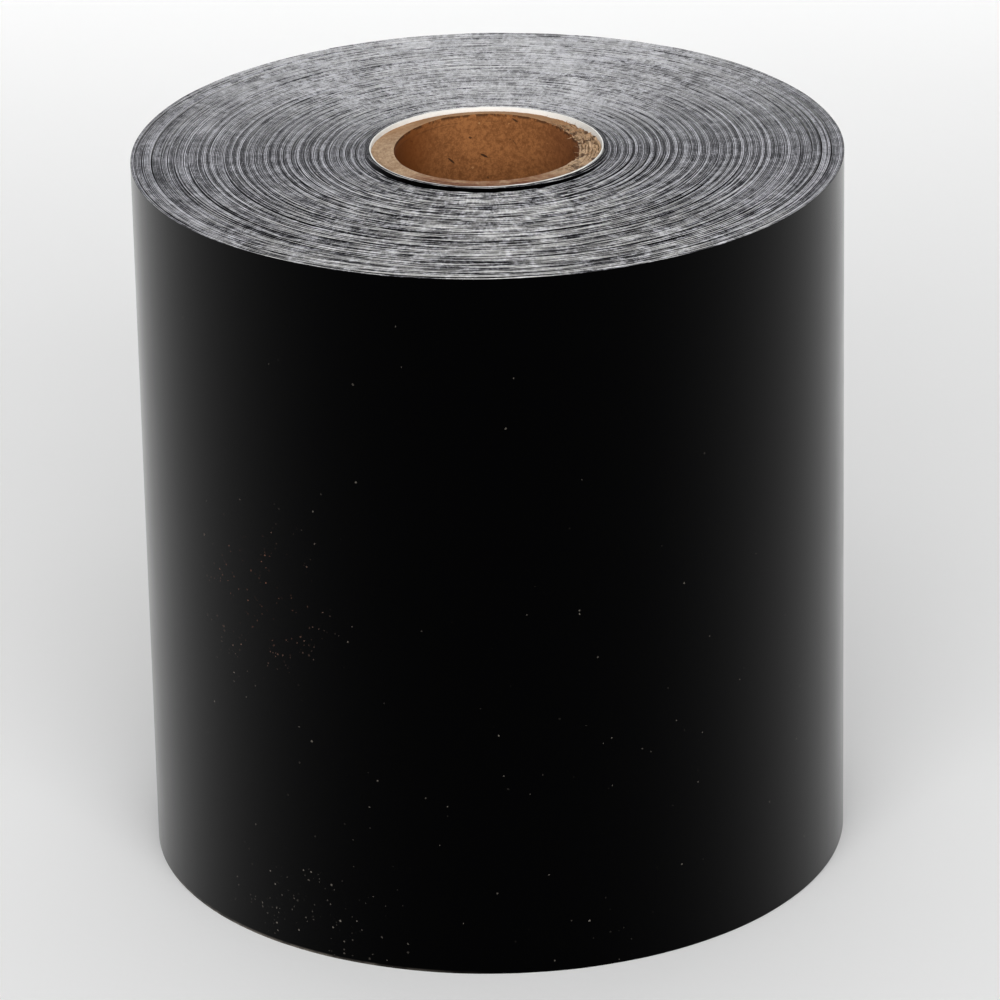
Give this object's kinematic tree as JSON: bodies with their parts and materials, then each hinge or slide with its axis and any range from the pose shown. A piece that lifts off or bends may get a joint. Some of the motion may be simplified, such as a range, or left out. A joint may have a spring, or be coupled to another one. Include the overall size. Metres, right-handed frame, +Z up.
{
  "type": "roll of sign vinyl",
  "caption": "Narrow roll of black self-adhesive sign vinyl wound film-out on a spiral paper core, with a lifting free end, a peeling film lap and a closing tab.",
  "frame": {"origin": "centre of the core's bore at the roll's lower end, which is the face it stands on", "axes": "+Z up along the roll's axis; +Y towards the back, where the free end lies; -Y towards the viewer"},
  "size_m": [0.0978, 0.0979, 0.1022],
  "materials": {
    "vinyl_web": "satin black film outside, white liner inside",
    "black_film": "satin",
    "release_liner": "smooth siliconised paper",
    "core_paper": "raw kraft paper",
    "core_bore_paper": "raw kraft paper, worn",
    "start_tape": "matte white",
    "closing_tape": "creped paper tape"
  },
  "bodies": {
    "root": {"core_inner_ply": "core_bore_paper", "core_ply_2": "core_paper", "core_ply_3": "core_paper", "core_ply_4": "core_paper", "core_ply_5": "core_paper", "core_ply_6": "core_paper", "core_outer_ply": "core_paper", "core_start_tape": "start_tape", "vinyl_web": "vinyl_web"},
    "tail_1": {"tail_web_1": "vinyl_web"},
    "tail_2": {"tail_web_2": "vinyl_web"},
    "tail_3": {"tail_web_3": "vinyl_web"},
    "tail_4": {"tail_web_4": "vinyl_web"},
    "tail_5": {"tail_web_5": "vinyl_web"},
    "tail_6": {"tail_web_6": "vinyl_web", "tail_liner": "release_liner"},
    "film_1": {"film_lap_1": "black_film"},
    "film_2": {"film_lap_2": "black_film"},
    "film_3": {"film_lap_3": "black_film", "closing_tab_anchor": "closing_tape"},
    "tab": {"closing_tab_grip": "closing_tape"}
  },
  "joints": [
    {"name": "tail_lift", "type": "hinge", "parent": "root", "child": "tail_1", "pos_m": [0.04735, 0.01269, 0], "axis": [0, 0, -1], "range_deg": [0, 12]},
    {"name": "tail_lift_2", "type": "hinge", "parent": "tail_1", "child": "tail_2", "pos_m": [0.04368, 0.02226, 0], "axis": [0, 0, -1], "range_deg": [0, 12]},
    {"name": "tail_lift_3", "type": "hinge", "parent": "tail_2", "child": "tail_3", "pos_m": [0.0381, 0.03085, 0], "axis": [0, 0, -1], "range_deg": [0, 12]},
    {"name": "tail_lift_4", "type": "hinge", "parent": "tail_3", "child": "tail_4", "pos_m": [0.03085, 0.0381, 0], "axis": [0, 0, -1], "range_deg": [0, 12]},
    {"name": "tail_lift_5", "type": "hinge", "parent": "tail_4", "child": "tail_5", "pos_m": [0.02226, 0.04368, 0], "axis": [0, 0, -1], "range_deg": [0, 12]},
    {"name": "tail_lift_6", "type": "hinge", "parent": "tail_5", "child": "tail_6", "pos_m": [0.01269, 0.04735, 0], "axis": [0, 0, -1], "range_deg": [0, 12]},
    {"name": "film_peel", "type": "hinge", "parent": "tail_6", "child": "film_1", "pos_m": [0.00257, 0.04896, 0], "axis": [0, 0, -1], "range_deg": [0, 50]},
    {"name": "film_peel_2", "type": "hinge", "parent": "film_1", "child": "film_2", "pos_m": [-0.00597, 0.04866, 0], "axis": [0, 0, -1], "range_deg": [0, 50]},
    {"name": "film_peel_3", "type": "hinge", "parent": "film_2", "child": "film_3", "pos_m": [-0.01433, 0.04688, 0], "axis": [0, 0, -1], "range_deg": [0, 50]},
    {"name": "tab_peel", "type": "hinge", "parent": "film_3", "child": "tab", "pos_m": [-0.0223, 0.04377, 0], "axis": [0, 0, -1], "range_deg": [0, 110]}
  ],
  "couplings": [
    {"joint": "tail_lift_2", "follows": "tail_lift", "ratio": 1},
    {"joint": "tail_lift_3", "follows": "tail_lift", "ratio": 1},
    {"joint": "tail_lift_4", "follows": "tail_lift", "ratio": 1},
    {"joint": "tail_lift_5", "follows": "tail_lift", "ratio": 1},
    {"joint": "tail_lift_6", "follows": "tail_lift", "ratio": 1},
    {"joint": "film_peel_2", "follows": "film_peel", "ratio": 1},
    {"joint": "film_peel_3", "follows": "film_peel", "ratio": 1}
  ]
}
